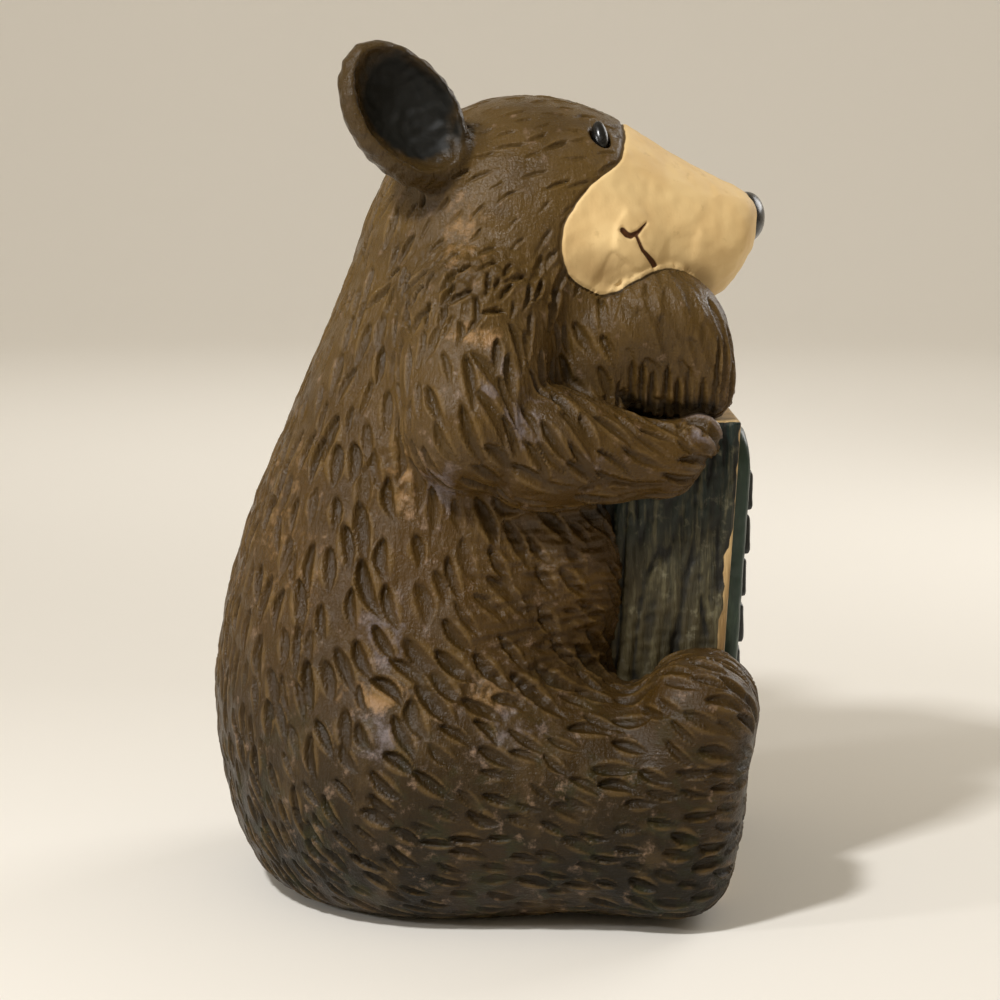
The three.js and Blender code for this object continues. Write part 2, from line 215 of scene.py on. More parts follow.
def slope_of(field, p, reach=0.35):
    """The outward normal of a field at each point."""
    n = np.empty_like(p)
    for axis in range(3):
        step = np.zeros(3, np.float32)
        step[axis] = reach
        n[:, axis] = field(p + step) - field(p - step)
    return n / (np.linalg.norm(n, axis=1, keepdims=True) + 1e-9)


# The eye sits where a line across the head at this forward and height meets the skin, and looks
# more to the side than the skin does there, so that its oval stands upright under the brow.
EYE_FORWARD, EYE_HEIGHT, EYE_FACES = 33.3, 238.7, (0.82, 0.3, 0.46)
SOCKET_AT, SOCKET_RADII = (0, 0, -0.3), (3.1, 3.0, 5.8)
on_line = np.array([(x, -EYE_FORWARD, EYE_HEIGHT) for x in np.linspace(5, 60, 2000)], np.float32)
eye_at = on_line[np.argmin(np.abs(head(on_line)))]


def in_eye(p):
    """Points measured from the eye: across it, out of the head, and up."""
    return turned(p, (eye_at[0], -eye_at[1], eye_at[2]), EYE_FACES, (0, 0, 1))


def body(p):
    q = mirrored(p)
    trunk = swept(p[:, 2], -p[:, 1], p[:, 0], TRUNK, 2.15, 10)
    thigh = taper(q, (38, -20, 44), (48, 38, 34), 46, 36)
    foot = rounded_box(turned(q, (54, 59.5, 41.5), (0.12, 1, -0.17), (0, 0, 1)), (26.5, 18, 41), 17.5)
    d = blend(trunk, blend(thigh, foot, 10), 9)
    d = blend(d, head(p), 12)
    d = blend(d, ellipsoid(in_ear(p), (0, 0, 0), EAR_RADII), 7)
    d = carve(d, -ear_cup(p), 1.6)
    chest = ellipsoid(q, (22, 30, 168), (24, 17, 30))
    belly = ellipsoid(q, (35, 21, 102), (19, 20, 33))
    d = blend(blend(d, chest, 6), belly, 7)
    # The right arm bends at the elbow and hugs the log's flank. It is laid out as if on the left.
    right = p * np.array([-1, 1, 1], np.float32)
    forearm = taper(right, (52, 14, 145.5), (46, 52, 140.5), 19.5, 10.5)
    hand = taper(right, (46, 52, 140.5), (45, 63, 147.5), 10.5, 7)
    upper_arm = taper(right, (38, -4, 182), (56, -6.5, 153), 25, 20.5)
    hugging = blend(upper_arm, blend(forearm, hand, 4), 2.5)
    # The left arm lies across the top of the log, to the paw under the chin.
    upper_arm = taper(p, (38, -4, 182), (58, 16, 152), 25, 20)
    resting = blend(upper_arm, taper(p, (56, 20, 154), (-24, 54, 168), 19, 14), 6)
    d = blend(d, blend(hugging, resting, 3), 6)
    # The paw meets the chin and the log in a tight seam, and its wrist flows into the chest.
    wrist = np.clip((192 - p[:, 2]) / 8, 0, 1) * np.clip((p[:, 1] + 46) / 8, 0, 1)
    paw = blend(resting_paw(p), taper(p, (-31, 46, 176), (-22, 36, 175), 13, 13.5), 5)
    d = blend(d, paw, 2 + 3 * wrist)
    d = carve(d, -ellipsoid(in_eye(q), SOCKET_AT, SOCKET_RADII), 0.7)
    return carve(d, SHAVED - p[:, 2], 11)


def sculpt(field, low, high, step):
    """The surface of a field: measured coarsely everywhere, then finely close to the skin."""
    block, far = 5, 5.0
    low = np.array(low, float)
    cells = np.ceil((np.array(high) - low) / (step * block)).astype(int)
    grid = np.stack(np.meshgrid(*[np.arange(n) for n in cells], indexing="ij"), -1).reshape(-1, 3)
    middle = (low + (grid * block + (block - 1) / 2) * step).astype(np.float32)
    d = field(middle)
    close = np.abs(d) < 1.25 * block * step
    volume = np.where(d < 0, -far, far).reshape(cells).astype(np.float32)
    for axis in range(3):
        volume = np.repeat(volume, block, axis)
    inner = np.stack(np.meshgrid(*[np.arange(block)] * 3, indexing="ij"), -1).reshape(-1, 3)
    fine = (grid[close][:, None] * block + inner[None]).reshape(-1, 3)
    values = field((low + fine * step).astype(np.float32))
    volume[fine[:, 0], fine[:, 1], fine[:, 2]] = np.clip(values, -far, far)
    vdb = openvdb.FloatGrid(background=far)
    vdb.copyFromArray(volume)
    points, triangles, quads = vdb.convertToPolygons(isovalue=0.0, adaptivity=0.0)
    faces = np.concatenate([triangles, quads[:, [0, 1, 2]], quads[:, [0, 2, 3]]])[:, ::-1]
    return (points * step + low).astype(np.float32), faces.astype(np.int64)


def skin_normals(points, faces):
    """The normals of a finished surface, averaged round each point."""
    a, b, c = (points[faces[:, k]] for k in range(3))
    across = np.cross(b - a, c - a)
    total = np.zeros((len(points), 3))
    for corner in faces.T:
        for axis in range(3):
            total[:, axis] += np.bincount(corner, across[:, axis], len(points))
    return total / (np.linalg.norm(total, axis=1, keepdims=True) + 1e-12)


def mesh_of(name, points, faces):
    mesh = bpy.data.meshes.new(name)
    mesh.vertices.add(len(points))
    mesh.vertices.foreach_set("co", points.astype(np.float32).ravel())
    mesh.loops.add(faces.size)
    mesh.loops.foreach_set("vertex_index", faces.ravel().astype(np.int32))
    mesh.polygons.add(len(faces))
    mesh.polygons.foreach_set("loop_start", np.arange(0, faces.size, 3, dtype=np.int32))
    mesh.polygons.foreach_set("use_smooth", np.ones(len(faces), bool))
    mesh.update(calc_edges=True)
    return mesh


def thinned(points, faces, most, measures):
    """The same surface with fewer triangles, spent where it is most carved."""
    mesh = mesh_of("thinning", points, faces)
    measures = {**measures, **dict(zip(("nx", "ny", "nz"), skin_normals(points, faces).T))}
    for key, values in measures.items():
        mesh.attributes.new(key, "FLOAT", "POINT").data.foreach_set("value", values.astype(np.float32))
    holder = bpy.data.objects.new("thinning", mesh)
    bpy.context.scene.collection.objects.link(holder)
    holder.modifiers.new("thin", "DECIMATE").ratio = most / len(faces)
    made = bpy.data.meshes.new_from_object(holder.evaluated_get(bpy.context.evaluated_depsgraph_get()))
    points = np.empty(len(made.vertices) * 3, np.float32)
    made.vertices.foreach_get("co", points)
    made.calc_loop_triangles()
    faces = np.empty(len(made.loop_triangles) * 3, np.int32)
    made.loop_triangles.foreach_get("vertices", faces)
    kept = {}
    for key in measures:
        kept[key] = np.empty(len(made.vertices), np.float32)
        made.attributes[key].data.foreach_get("value", kept[key])
    for spare in (mesh, made):
        bpy.data.meshes.remove(spare)
    normals = np.stack([kept.pop(key) for key in ("nx", "ny", "nz")], 1)
    normals /= np.linalg.norm(normals, axis=1, keepdims=True) + 1e-9
    return points.reshape(-1, 3), faces.reshape(-1, 3).astype(np.int64), normals, kept


def piece_of(name, points, faces, normals=None, **measures):
    """Makes a surface one object of the casting, in metres, with its measures kept at every point."""
    if normals is None:
        normals = skin_normals(points, faces)
    used, faces = np.unique(faces, return_inverse=True)
    mesh = mesh_of(name, (points[used] + to_frame) / 1000, faces.reshape(-1, 3))
    mesh.normals_split_custom_set_from_vertices(normals[used].tolist())
    for key, values in measures.items():
        mesh.attributes.new(key, "FLOAT", "POINT").data.foreach_set("value", values[used].astype(np.float32))
    piece = bpy.data.objects.new(name, mesh)
    bpy.context.scene.collection.objects.link(piece)
    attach(piece, "root")
    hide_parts("bear")
    return piece


def wander(points, scale, seed):
    """Soft unevenness, from -1 to 1, whose swells are about this many millimetres across."""
    off = Vector((seed * 13.1, seed * 7.7, seed * 3.3))
    return np.array([noise.noise(Vector(p) / scale + off) for p in points.tolist()], np.float32)


# How the fur lies, as a carver combs it: forward, height, and its lean forward of straight down
# in degrees. Between these places it turns smoothly, and both sides of the bear match.
FUR_LIE = [
    (-26, 202, -30),
    (-48, 168, -10),
    (-58, 138, -6),
    (-30, 152, 4),
    (-80, 100, 2),
    (-55, 100, 6),
    (-25, 128, 8),
    (-78, 66, 10),
    (-52, 66, 26),
    (-20, 72, 44),
    (-64, 28, 34),
    (-36, 34, 58),
    (-8, 26, 78),
    (14, 54, 66),
    (44, 44, 76),
    (66, 40, 84),
    (62, 72, 60),
    (-10, 158, 26),
    (6, 150, 34),
    (24, 134, 62),
    (52, 136, 78),
    (34, 178, 14),
    (18, 168, 18),
    (10, 194, -32),
    (6, 212, -48),
    (16, 232, -74),
    (-8, 236, -70),
]


def lie_at(p):
    """The way the fur points at each place, before it is laid flat on the skin."""
    f, z = -p[:, 1], p[:, 2]
    weight, ahead, down = np.zeros(len(p)), np.zeros(len(p)), np.zeros(len(p))
    for forward, height, lean in FUR_LIE:
        w = 1 / (((f - forward) ** 2 + (z - height) ** 2) / 300 + 0.15) ** 1.6
        weight += w
        ahead += w * math.sin(math.radians(lean))
        down += w * math.cos(math.radians(lean))
    return np.stack([0.12 * np.sign(p[:, 0]) * (np.abs(p[:, 0]) > 12), -ahead / weight, -down / weight], 1)


# Where the cream face begins, from the throat to the brow: height, and how far forward.
FACE_LINE = [
    (178, 50),
    (183, 46),
    (187, 41),
    (189.5, 36),
    (191, 32),
    (194.5, 25.9),
    (199, 22.9),
    (206, 21.5),
    (212.1, 22.5),
    (218.2, 25.9),
    (225.1, 32),
    (229.7, 38.3),
    (236.6, 41.3),
    (245, 41.6),
]
# The two strokes of the mouth: forward, height, and half the stroke's width.
MOUTH_CORNER = [
    (39.7, 210.2, 0.8),
    (41.0, 208.9, 0.85),
    (42.3, 208.5, 0.8),
    (44.7, 209.7, 0.55),
    (47.2, 212.2, 0.2),
]
LIP = [(44.1, 208.6, 0.35), (46.2, 204.1, 0.5), (48.8, 200.9, 0.8), (51, 197.5, 0.8)]


def cream(p):
    """Millimetres inside the cream face, negative in the fur."""
    ahead = -p[:, 1] - along(p[:, 2], *zip(*FACE_LINE))
    return np.minimum(ahead * 0.8, 1.3 - np.maximum(head(p), 0))


def mouth_line(p):
    """Millimetres from the edge of the carved mouth: a hooked corner, and the lip running down."""
    f, z = -p[:, 1], p[:, 2]
    best = np.full(len(p), 99.0)
    for path in (MOUTH_CORNER, LIP):
        for (fa, za, wa), (fb, zb, wb) in zip(path, path[1:]):
            df, dz = fb - fa, zb - za
            t = np.clip(((f - fa) * df + (z - za) * dz) / (df * df + dz * dz), 0, 1)
            best = np.minimum(best, np.hypot(f - fa - t * df, z - za - t * dz) - wa - t * (wb - wa))
    return np.where(np.abs(p[:, 0]) > 8, best, 99.0)


def bare(p):
    """Where the skin is left smooth: the face, ears' cups, eyes, underside and, in part, the paw."""
    smooth = np.clip((cream(p) + 1.2) / 1.2, 0, 1)
    smooth = np.maximum(smooth, np.clip(1.2 - ellipsoid(in_ear(p), (2, 0, 0), (25, 18, 11)) / 3, 0, 1))
    smooth = np.maximum(smooth, np.clip((3.5 - p[:, 2]) / 2.5, 0, 1))
    smooth = np.maximum(smooth, np.clip(1 - ellipsoid(in_eye(mirrored(p)), (0, 0, 0), (5, 5, 6.5)) / 2, 0, 1))
    on_paw = (resting_paw(p) < 0.9) & (in_paw(p)[:, 1] > -21)
    return np.where(on_paw, 0.55, smooth)


def near(f, z, forward, height, reach_f, reach_z):
    return np.exp(-(((f - forward) / reach_f) ** 2) - (((z - height) / reach_z) ** 2))


FUR_TRIES, MOST_MARKS = 34000, 4000


def fur_marks(points, normals, dice):
    """The gouge marks: where each starts, which way it runs, how long, wide and deep it is."""
    f, z = -points[:, 1], points[:, 2]
    on_head = np.clip((z - 196) / 8, 0, 1) * np.clip((f + 30) / 12, 0, 1)
    neck = np.clip(near(f, z, -8, 192, 32, 17) * 1.3, 0, 1) * (1 - on_head)
    waist = near(f, z, -30, 96, 17, 38)
    shoulder = near(f, z, -6, 160, 16, 18)
    arm = near(f, z, 42, 140, 26, 16)
    belly = near(f, z, 22, 101, 30, 22)
    low = np.clip((78 - z) / 40, 0, 1)
    length = 14.5 - 6.5 * on_head - 5.5 * neck + 3.5 * shoulder + 1 * waist + 2.5 * arm - 3.8 * low
    half = 1.85 - 1.0 * on_head - 0.6 * neck - 0.6 * arm + 0.9 * waist - 0.35 * low
    deep = 1.75 - 0.75 * on_head - 0.1 * neck - 0.2 * arm + 0.35 * waist - 0.5 * belly - 0.25 * low
    along_gap = 11.5 - 3.0 * on_head - 5.0 * neck + 1.5 * shoulder - 2.2 * arm - 2.2 * low
    across_gap = 5.0 - 0.6 * on_head - 1.9 * neck - 0.4 * shoulder - 1.5 * arm + 0.8 * waist - 0.6 * low
    plain = 1.25 * belly * (np.abs(points[:, 0]) > 30) + near(f, z, 66, 78, 9, 9) * 0.7 + 0.3 * on_head
    lie = lie_at(points)
    flat = lie - normals * (lie * normals).sum(1, keepdims=True)
    flat /= np.linalg.norm(flat, axis=1, keepdims=True) + 1e-9
    smooth = bare(points)
    kept, places = [], np.zeros((MOST_MARKS, 3))
    for i in dice.permutation(len(points))[:FUR_TRIES]:
        if smooth[i] > 0.75 or dice.random() < plain[i] * 0.8:
            continue
        gap = places[: len(kept)] - points[i]
        gap = gap[(np.abs(gap) < 12).all(1)]
        run = gap @ flat[i]
        off = (gap**2).sum(1) - run**2
        if ((run / along_gap[i]) ** 2 + off / across_gap[i] ** 2 < 1).any():
            continue
        places[len(kept)] = points[i]
        kept.append(i)
    n = len(kept)
    scale = dice.uniform(0.78, 1.2, n)
    turn = np.radians(dice.normal(0, 8, n) + dice.normal(0, 20, n) * neck[kept])
    side = np.cross(normals[kept], flat[kept])
    run = flat[kept] * np.cos(turn)[:, None] + side * np.sin(turn)[:, None]
    start = points[kept] - run * (length[kept] * scale * 0.4)[:, None]
    return (
        start,
        run,
        normals[kept],
        length[kept] * scale * dice.uniform(0.85, 1.2, n),
        half[kept] * scale * dice.uniform(0.8, 1.2, n),
        deep[kept] * scale * dice.uniform(0.7, 1.15, n),
    )


def finger_marks(points, normals, dice):
    """The grooves between the fingers of the resting paw, from the knuckles down."""
    q = in_paw(points)
    on_paw = np.abs(resting_paw(points)) < 1
    made = []
    # The paw's outer side, then its front: its points, the way across it, reach, and the marks' tops.
    for face, across, reach, tops in (
        (q[:, 0] > 6, q[:, 1], 19, (-11, 0)),
        (q[:, 1] > 16, q[:, 0], 11, (-4, 6)),
    ):
        elsewhere = np.where(face & on_paw, 0, 99)
        at = -reach
        while at < reach:
            at += dice.uniform(3.0, 5.4)
            top = dice.uniform(*tops)
            miss = np.abs(across - at) + np.abs(q[:, 2] - top) + elsewhere
            i = int(np.argmin(miss))
            if miss[i] > 3:
                continue
            down = np.array([0, 0, -1.0]) + normals[i] * normals[i][2]
            down /= np.linalg.norm(down)
            made.append((points[i], down, normals[i], 22.0, dice.uniform(0.8, 1.5), dice.uniform(1.1, 1.8)))
    return tuple(np.array(column) for column in zip(*made))


def gouged(points, normals, marks):
    """How deep each point is cut, and how far it is pushed up beside a cut."""
    depth, rim = np.zeros(len(points), np.float32), np.zeros(len(points), np.float32)
    tree = KDTree(len(points))
    for i, place in enumerate(points.tolist()):
        tree.insert(place, i)
    tree.balance()
    for start, run, normal, length, half_width, deep in zip(*marks):
        side = np.cross(normal, run)
        hits = tree.find_range(start + run * length * 0.5, length * 0.5 + half_width * 1.5)
        close = np.array([hit[1] for hit in hits], int)
        if not len(close):
            continue
        gap = points[close] - start
        s = (gap @ run) / length
        bow = half_width * math.sin(length * 7) * 3.0
        v = gap @ side - bow * s * (1 - s)
        t = np.clip(s, 0, 1)
        # A leaf: pointed where it enters and leaves, widest a little before the middle, and
        # steeper on the side that the gouge leans to. Its rim is pushed up.
        width = half_width * np.clip(np.sin(np.pi * t**0.8), 0, 1) ** 0.75 + 1e-3
        lean = 0.3 * math.copysign(1, bow)
        u = v / width
        u = np.where(u < lean, (lean - u) / (1 + lean), (u - lean) / (1 - lean))
        on = (s > 0) * (s < 1) * (normals[close] @ normal > 0.2)
        fall = deep * np.clip(t / 0.1, 0, 1) ** 0.6 * (1 - t) ** 0.55 * on
        depth[close] = np.maximum(depth[close], fall * np.clip(1 - u * u, 0, 1) ** 0.68)
        lip = np.exp(-(((u - 1.3) / 0.42) ** 2)) * np.clip(np.sin(np.pi * t), 0, 1)
        rim[close] = np.maximum(rim[close], 0.26 * deep * lip * on)
    return depth, rim * np.clip(1 - depth / 0.3, 0, 1)


FACET_TRIES = 4000


def facets(points, normals, spacing, dice):
    """How far each point stands over the flat cut nearest to it, as a broad chisel leaves."""
    centres = []
    for i in dice.permutation(len(points))[:FACET_TRIES]:
        if all(np.linalg.norm(points[i] - points[c]) > spacing for c in centres):
            centres.append(i)
    gap = points[:, None] - points[centres][None]
    away = (gap**2).sum(2)
    closeness = np.exp((away.min(1, keepdims=True) - away) / 14)
    return ((gap * normals[centres][None]).sum(2) * closeness).sum(1) / closeness.sum(1)


SKIN_STEP = 0.64  # between the places measured
SKIN_TRIANGLES = 690000
dice = np.random.default_rng(11)
points, faces = sculpt(body, (-96, -100, -3), (96, 100, 276), SKIN_STEP)
normals = slope_of(body, points)
smooth = bare(points)
on_head = np.clip((points[:, 2] - 196) / 8, 0, 1)
on_ear = np.clip(1 - ellipsoid(in_ear(points), (0, 0, 0), EAR_RADII) / 4, 0, 1)
uneven = (0.4 * wander(points, 13, 1) + 0.2 * wander(points, 4.5, 2)) * (1 - 0.5 * on_head + on_ear)
marks = fur_marks(points, normals, dice)
cut, rim = gouged(points, normals, marks)
fingers, knuckles = gouged(points, normals, finger_marks(points, normals, dice))
cut = np.maximum(cut * (1 - smooth), fingers)
uneven += rim * (1 - smooth) + knuckles
# Chatter left across the belly by a tool drawn down it, and picked texture behind the cheek, over
# the thigh and behind the elbow.
f, z = -points[:, 1], points[:, 2]
chatter = np.clip(1.6 * near(f, z, 18, 98, 22, 22), 0, 1) * (np.abs(points[:, 0]) > 25) * (1 - smooth)
uneven += 1.5 * chatter * wander(points * (0.3, 0.3, 1), 2.0, 21)
picked = near(f, z, -4, 196, 26, 12) + near(f, z, 6, 76, 20, 9) + 0.5 * near(f, z, -28, 140, 12, 12)
uneven += 1.15 * np.clip(picked, 0, 1) * (1 - smooth) * wander(points, 2.4, 22)
# The ears' rims are whittled unevenly, and the face keeps small bumps of a fine blade.
whittled = 0.5 * on_ear * wander(points, 3.0, 24)
uneven += whittled + 0.26 * np.clip(cream(points), 0, 1) * wander(points, 3.4, 25)
# A groove is cut all round the cream face, deepest low down, and the mouth is cut into the face.
inside_face = cream(points) + 0.25 * wander(points, 3, 8)
deep = 0.85 + 0.7 * np.clip((202 - points[:, 2]) / 6, 0, 1)
groove = deep * np.exp(-(((inside_face + 0.45) / 0.55) ** 2)) * (inside_face < 1.2) * (head(points) < 3)
mouth = np.where(inside_face > 0.5, mouth_line(points), 99.0)
cut = np.maximum(cut, groove)
cut = np.maximum(cut, 0.9 * np.clip(1 - (mouth + 0.3) / 0.7, 0, 1))
# The face is planed into shallow flats about 12 mm across.
flat_cut = np.zeros(len(points))
on_face = inside_face > -1
planed = facets(points[on_face], normals[on_face], 12, dice)
flat_cut[on_face] = planed * 0.2 * np.clip(inside_face[on_face] + 1, 0, 1)
lift_off_base = np.clip((points[:, 2] - 1.0) / 2.5, 0, 1)
skin = points + normals * ((uneven - cut - np.clip(flat_cut, -0.8, 0.8)) * lift_off_base)[:, None]
# The black in the ear's cup: 1 at the edge of an oval this far along and across the ear.
BLACK_AT, BLACK_LONG, BLACK_WIDE = (0.6, 2.4, 9), 20, 14
q = in_ear(points) - np.array(BLACK_AT, np.float32)
hollow = np.where(np.abs(ear_cup(points)) < 2, np.hypot(q[:, 0] / BLACK_LONG, q[:, 1] / BLACK_WIDE), 2.0)
# Where handling has worn the paint to tan, and where grey stands for worn paint and a painted sheen together:
# forward, height, reach each way, and how far it has gone.
WORN_TO_TAN = [
    (-4, 180, 8, 4, 1.0),
    (-8, 210, 6, 12, 0.75),
    (-26, 136, 7, 11, 0.6),
    (-33, 73, 12, 5, 1.0),
    (0, 73, 6, 4, 0.8),
    (56, 158, 20, 4, 0.5),
    (-62, 118, 10, 30, 0.35),
]
WORN_AND_SHEEN_TO_GREY = [
    (2, 168, 7, 9, 1.0),
    (10, 154, 6, 7, 1.0),
    (-16, 134, 7, 9, 0.9),
    (-31, 91, 8, 10, 0.9),
    (-32, 64, 10, 8, 0.8),
    (5, 66, 10, 8, 0.6),
    (66, 151, 6, 4.5, 2.0),
    (30, 140, 8, 6, 0.5),
]
worn_and_sheen = [
    sum(far * near(f, z, *place) for *place, far in spots) * (np.abs(points[:, 0]) > 10)
    for spots in (WORN_TO_TAN, WORN_AND_SHEEN_TO_GREY)
]
measures = {
    "cut": cut,
    # Painted shade where the skin is hemmed in by the body within 8 mm, and over the ears.
    "crease_shade": np.clip(np.maximum(1 - body(points + normals * 8) / 8, 0.62 * np.clip(on_ear * 2, 0, 1)), 0, 1),
    "tan": worn_and_sheen[0],
    "grey": worn_and_sheen[1],
    "cream": inside_face,
    "mouth": mouth,
    "hollow": hollow,
    "upright": np.abs(lie_at(points)[:, 2]),
    # Painted shade on the lower cheek, which turns down and away from the light.
    "cheek_shade": near(f, z, 32, 200, 11, 8),
    "rim": rim * (1 - smooth) + knuckles,
}

points, faces, normals, measures = thinned(skin, faces, SKIN_TRIANGLES, measures)

# One casting, kept as bands so that each stays light to handle. They share their edges.
middle = points[faces[:, 0], 2]
bear = []
for name, low, high in (
    ("carved_haunches", -9, 42),
    ("carved_hips", 42, 82),
    ("carved_waist", 82, 130),
    ("carved_shoulders", 130, 186),
    ("carved_head", 186, 300),
):
    chosen = (middle >= low) & (middle < high)
    bear.append(piece_of(name, points, faces[chosen], normals, **measures))


def linear(hex_colour, alpha=1.0):
    """An sRGB hex colour as linear values."""
    made = []
    for i in (1, 3, 5):
        c = int(hex_colour[i : i + 2], 16) / 255
        made.append(c / 12.92 if c <= 0.04045 else ((c + 0.055) / 1.055) ** 2.4)
    return (*made, alpha)


def add(tree, kind, inputs, out=0, **settings):
    """Adds a node with its settings, gives each input a value or a link, and hands back one output."""
    node = tree.nodes.new("ShaderNode" + kind)
    for key, value in settings.items():
        setattr(node, key, value)
    for key, value in inputs.items():
        if isinstance(value, bpy.types.NodeSocket):
            tree.links.new(value, node.inputs[key])
        else:
            node.inputs[key].default_value = value
    return node.outputs[out]


def paint(name):
    """A new material with only its Principled shader and output."""
    material = bpy.data.materials.new(name)
    material.use_nodes = True
    return material, material.node_tree, material.node_tree.nodes["Principled BSDF"]


# Brown acrylic brushed over the resin under a satin varnish: an umber, with painted light making it
# lighter toward the top and painted shade making it much darker low down; painted shade in the cuts, over
# a little real dark wash, and in the creases between the limbs; tan where handling wore the high places,
# and grey that is partly worn paint and partly painted sheen. The cream face and the black inside the ears
# are brushed on the same skin. The eye reads an oily, uneven brown with sharp glints on the carved edges,
# helped by a painted highlight along each gouge's rim.
material, tree, shader = paint("varnished_brown_acrylic")
SMOOTH = {"interpolation_type": "SMOOTHSTEP"}
place = add(tree, "TexCoord", {}, "Object")
cut = add(tree, "Attribute", {}, "Fac", attribute_name="cut")
height = add(tree, "SeparateXYZ", {"Vector": place}, 2)
low_down = add(tree, "MapRange", {"Value": height, "From Min": 0.11, "From Max": 0.012}, **SMOOTH)
on_top = add(tree, "MapRange", {"Value": height, "From Min": 0.10, "From Max": 0.22}, **SMOOTH)
high = add(tree, "MapRange", {"Value": cut, "From Min": 0.5, "From Max": 0.05}, **SMOOTH)
# Painted light and shade: the umber is mixed lighter toward the top and nearly black low down.
brown = add(tree, "Mix", {0: on_top, 6: linear("#483313"), 7: linear("#57421f")}, 2, data_type="RGBA")
brown = add(tree, "Mix", {0: low_down, 6: brown, 7: linear("#191203")}, 2, data_type="RGBA")

# Each coat that shows through the last: patch size in mm, noise detail, where it begins and is
# whole, how strong it is, its colour, and what holds it to its place.
worn_tan = add(tree, "Attribute", {}, "Fac", attribute_name="tan")
worn_and_sheen_grey = add(tree, "Attribute", {}, "Fac", attribute_name="grey")
for size, detail, begins, whole, strength, colour, held in (
    (30, 3, 0.46, 0.66, 0.5, "#3a2a13", None),
    (17, 4, 0.52, 0.68, 0.4, "#574427", None),
    (9, 4, 0.5, 0.66, 0.5, "#2c2f16", low_down),
    # Partly worn paint, partly painted sheen: a grey coat on the high places between the cuts.
    (24, 4, 0.56, 0.72, 0.3, "#605345", high),
    (1.3, 2, 0.74, 0.8, 0.5, "#a4957a", None),
):
    cloud = {"Vector": place, "Scale": 1000 / size, "Detail": detail, "Roughness": 0.6}
    much = {"Value": add(tree, "TexNoise", cloud), "From Min": begins, "From Max": whole, "To Max": strength}
    much = add(tree, "MapRange", much, **SMOOTH)
    if held:
        much = add(tree, "Math", {0: much, 1: held}, operation="MULTIPLY")
    brown = add(tree, "Mix", {0: much, 6: brown, 7: linear(colour)}, 2, data_type="RGBA")

# Worn places and painted sheen: the tan is worn paint, and the grey is partly worn paint and partly a
# painted sheen. Both break up in scuffs of about 5 mm, first where the skin stands high.
scuffs = add(tree, "TexNoise", {"Vector": place, "Scale": 1000 / 5, "Detail": 6, "Roughness": 0.68})
for worn_and_sheen, strength, colour in ((worn_and_sheen_grey, 0.85, "#746b6c"), (worn_tan, 0.72, "#9a774c")):
    reach = add(tree, "Math", {0: worn_and_sheen, 1: 0.26}, operation="MULTIPLY")
    reach = add(tree, "Math", {0: reach, 1: scuffs}, operation="ADD")
    reach = {"Value": reach, "From Min": 0.56, "From Max": 0.84, "To Max": strength}
    reach = add(tree, "MapRange", reach, **SMOOTH)
    reach = add(tree, "Math", {0: reach, 1: high}, operation="MULTIPLY")
    brown = add(tree, "Mix", {0: reach, 6: brown, 7: linear(colour)}, 2, data_type="RGBA")
# Painted highlight: the pushed-up edge of every gouge is mixed lighter, standing in for glints along the
# marks.
edge = add(tree, "Attribute", {}, "Fac", attribute_name="rim")
edge = add(tree, "MapRange", {"Value": edge, "From Min": 0.04, "From Max": 0.42, "To Max": 0.34}, **SMOOTH)
brown = add(tree, "Mix", {0: edge, 6: brown, 7: linear("#7a6036")}, 2, data_type="RGBA")
# Painted shade, over a little real dark wash, in the cuts; and painted shade in the creases between the limbs
# and over the ears.
wash = add(tree, "MapRange", {"Value": cut, "From Min": 0.15, "From Max": 1.6, "To Max": 0.4}, **SMOOTH)
brown = add(tree, "Mix", {0: wash, 6: brown, 7: linear("#1a1305")}, 2, data_type="RGBA")
# Painted shade in the creases and over the ears.
crease_shade = add(tree, "Attribute", {}, "Fac", attribute_name="crease_shade")
crease_shade = {"Value": crease_shade, "From Min": 0.22, "From Max": 0.92, "To Max": 0.86}
crease_shade = add(tree, "MapRange", crease_shade, **SMOOTH)
brown = add(tree, "Mix", {0: crease_shade, 6: brown, 7: linear("#160f05")}, 2, data_type="RGBA")

# The cream: two ivories in broad drifts, with smudges, painted shade on the lower cheek and in the creases,
# and brown in the mouth.
broad = add(tree, "TexNoise", {"Vector": place, "Scale": 1000 / 16, "Detail": 3})
broad = add(tree, "MapRange", {"Value": broad, "From Min": 0.35, "From Max": 0.7}, **SMOOTH)
ivory = add(tree, "Mix", {0: broad, 6: linear("#e2c48e"), 7: linear("#d8b781")}, 2, data_type="RGBA")
smudge = add(tree, "TexNoise", {"Vector": place, "Scale": 1000 / 5, "Detail": 5, "Roughness": 0.65})
smudge = add(tree, "MapRange", {"Value": smudge, "From Min": 0.6, "From Max": 0.75, "To Max": 0.3}, **SMOOTH)
ivory = add(tree, "Mix", {0: smudge, 6: ivory, 7: linear("#a58654")}, 2, data_type="RGBA")
# Painted shade on the lower cheek.
cheek_shade = add(tree, "Attribute", {}, "Fac", attribute_name="cheek_shade")
cheek_shade = add(tree, "Math", {0: broad, 1: 0.3, 2: cheek_shade}, operation="MULTIPLY_ADD")
cheek_shade = add(tree, "MapRange", {"Value": cheek_shade, "From Min": 0.3, "From Max": 1.15, "To Max": 0.6}, **SMOOTH)
ivory = add(tree, "Mix", {0: cheek_shade, 6: ivory, 7: linear("#a38456")}, 2, data_type="RGBA")
# Painted shade on the cream in the creases, beside the paw and the chin.
shaded = add(tree, "Math", {0: crease_shade, 1: 0.4}, operation="MULTIPLY")
ivory = add(tree, "Mix", {0: shaded, 6: ivory, 7: linear("#8f7145")}, 2, data_type="RGBA")
mouth = add(tree, "Attribute", {}, "Fac", attribute_name="mouth")
mouth = add(tree, "MapRange", {"Value": mouth, "From Min": 0.25, "From Max": -0.1}, **SMOOTH)
ivory = add(tree, "Mix", {0: mouth, 6: ivory, 7: linear("#4a2a10")}, 2, data_type="RGBA")
